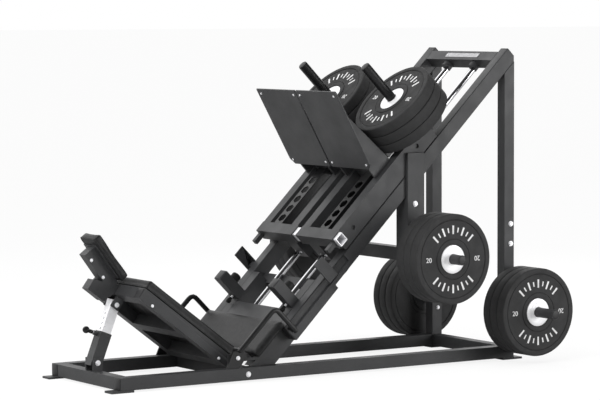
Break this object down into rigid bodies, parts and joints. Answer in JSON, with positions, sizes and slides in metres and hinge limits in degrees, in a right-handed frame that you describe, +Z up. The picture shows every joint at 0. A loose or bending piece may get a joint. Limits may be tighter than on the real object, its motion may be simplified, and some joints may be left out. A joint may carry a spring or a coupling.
{
  "type": "leg press machine",
  "caption": "Plate-loaded 45 degree leg press with two foot-plate carriages on guide rods, an adjustable backrest, a headrest and plate storage horns.",
  "frame": {"origin": "on the floor under the middle of the machine's bounding box", "axes": "+X from the headrest to the tower, +Y to the left of a user who lies facing +X, +Z up"},
  "size_m": [2.539, 1.484, 1.5866],
  "materials": {
    "powder": "satin charcoal powder coat",
    "black_steel": "satin black",
    "chrome": "polished",
    "zinc": "bright plated",
    "plate_rubber": "matt",
    "bumper_rubber": "matt",
    "vinyl": "grained"
  },
  "bodies": {
    "frame": {"base_rail_left": "powder", "rear_upright_left": "powder", "drop_upright_left": "powder", "side_rail_left": "powder", "guide_rod_left": "chrome", "hand_grip_left": "black_steel", "rail_stop_left": "powder", "base_rail_right": "powder", "rear_upright_right": "powder", "drop_upright_right": "powder", "side_rail_right": "powder", "guide_rod_right": "chrome", "hand_grip_right": "black_steel", "rail_stop_right": "powder", "base_crossmember_front": "powder", "base_crossmember_rear": "powder", "drop_crossbar": "powder", "top_crossbar": "powder", "seat_frame": "powder", "seat_pad": "vinyl"},
    "backrest": {"back_frame": "powder", "back_pad": "vinyl", "head_frame": "powder", "head_pad": "vinyl"},
    "strut": {"strut_outer": "powder"},
    "strut_slider": {"strut_inner": "zinc"},
    "strut_pull_pin": {"strut_pin": "black_steel"},
    "lock_bar": {"lock_bar": "zinc"},
    "stop_left": {"stop_post_left": "powder", "stop_bumper_left": "bumper_rubber"},
    "stop_pin_left": {"stop_pin_left": "black_steel"},
    "carriage_left": {"carriage_frame_left": "powder", "ladder_rack_left": "black_steel", "foot_plate_left": "powder", "carriage_horn_left": "black_steel"},
    "storage_rear_left": {"storage_rear_left_1": "plate_rubber", "storage_rear_left_2": "plate_rubber", "storage_rear_left_3": "plate_rubber"},
    "storage_front_left": {"storage_front_left_1": "plate_rubber", "storage_front_left_2": "plate_rubber", "storage_front_left_3": "plate_rubber"},
    "carriage_plate_left": {"carriage_plate_left_1": "plate_rubber", "carriage_plate_left_2": "plate_rubber", "carriage_plate_left_3": "plate_rubber"},
    "stop_right": {"stop_post_right": "powder", "stop_bumper_right": "bumper_rubber"},
    "stop_pin_right": {"stop_pin_right": "black_steel"},
    "carriage_right": {"carriage_frame_right": "powder", "ladder_rack_right": "black_steel", "foot_plate_right": "powder", "carriage_horn_right": "black_steel"},
    "storage_rear_right": {"storage_rear_right_1": "plate_rubber", "storage_rear_right_2": "plate_rubber", "storage_rear_right_3": "plate_rubber"},
    "storage_front_right": {"storage_front_right_1": "plate_rubber", "storage_front_right_2": "plate_rubber", "storage_front_right_3": "plate_rubber"},
    "carriage_plate_right": {"carriage_plate_right_1": "plate_rubber", "carriage_plate_right_2": "plate_rubber", "carriage_plate_right_3": "plate_rubber"}
  },
  "joints": [
    {"name": "carriage_slide_right", "type": "slide", "parent": "frame", "child": "carriage_right", "axis": [0.7096, 0, 0.7046], "range_m": [0, 0.45]},
    {"name": "carriage_slide_left", "type": "slide", "parent": "frame", "child": "carriage_left", "axis": [0.7096, 0, 0.7046], "range_m": [0, 0.45]},
    {"name": "lock_bar_slide", "type": "slide", "parent": "carriage_right", "child": "lock_bar", "axis": [0, -1, 0], "range_m": [0, 0.345]},
    {"name": "backrest_hinge", "type": "hinge", "parent": "frame", "child": "backrest", "pos_m": [-0.5745, 0, 0.099], "axis": [0, 1, 0], "range_deg": [-9, 5]},
    {"name": "strut_swing", "type": "hinge", "parent": "frame", "child": "strut", "pos_m": [-1.1735, 0, 0.107], "axis": [0, 1, 0], "range_deg": [-2.62, 1.48]},
    {"name": "strut_telescope", "type": "slide", "parent": "strut", "child": "strut_slider", "axis": [0.3616, 0, 0.9323], "range_m": [-0.0896, 0.05]},
    {"name": "strut_pin_pull", "type": "slide", "parent": "strut", "child": "strut_pull_pin", "axis": [-0.9323, 0, 0.3616], "range_m": [0, 0.012], "stiffness_N_per_m": 800},
    {"name": "stop_slide_left", "type": "slide", "parent": "frame", "child": "stop_left", "axis": [0.7096, 0, 0.7046], "range_m": [-0.04, 0.06]},
    {"name": "stop_pin_pull_left", "type": "slide", "parent": "stop_left", "child": "stop_pin_left", "axis": [-0.7096, 0, -0.7046], "range_m": [0, 0.012], "stiffness_N_per_m": 800},
    {"name": "storage_front_lift_left", "type": "slide", "parent": "frame", "child": "storage_front_left", "axis": [0, 1, 0], "range_m": [0, 0.25]},
    {"name": "storage_rear_lift_left", "type": "slide", "parent": "frame", "child": "storage_rear_left", "axis": [0, 1, 0], "range_m": [0, 0.32]},
    {"name": "carriage_plate_lift_left", "type": "slide", "parent": "carriage_left", "child": "carriage_plate_left", "axis": [-0.7046, 0, 0.7096], "range_m": [0, 0.4]},
    {"name": "stop_slide_right", "type": "slide", "parent": "frame", "child": "stop_right", "axis": [0.7096, 0, 0.7046], "range_m": [-0.04, 0.06]},
    {"name": "stop_pin_pull_right", "type": "slide", "parent": "stop_right", "child": "stop_pin_right", "axis": [-0.7096, 0, -0.7046], "range_m": [0, 0.012], "stiffness_N_per_m": 800},
    {"name": "storage_front_lift_right", "type": "slide", "parent": "frame", "child": "storage_front_right", "axis": [0, -1, 0], "range_m": [0, 0.25]},
    {"name": "storage_rear_lift_right", "type": "slide", "parent": "frame", "child": "storage_rear_right", "axis": [0, -1, 0], "range_m": [0, 0.32]},
    {"name": "carriage_plate_lift_right", "type": "slide", "parent": "carriage_right", "child": "carriage_plate_right", "axis": [-0.7046, 0, 0.7096], "range_m": [0, 0.4]}
  ],
  "couplings": [
    {"joint": "carriage_slide_left", "follows": "carriage_slide_right", "ratio": 1},
    {"joint": "strut_swing", "follows": "backrest_hinge", "ratio": 0.2803},
    {"joint": "strut_telescope", "follows": "backrest_hinge", "m_per_rad": 0.56135}
  ]
}
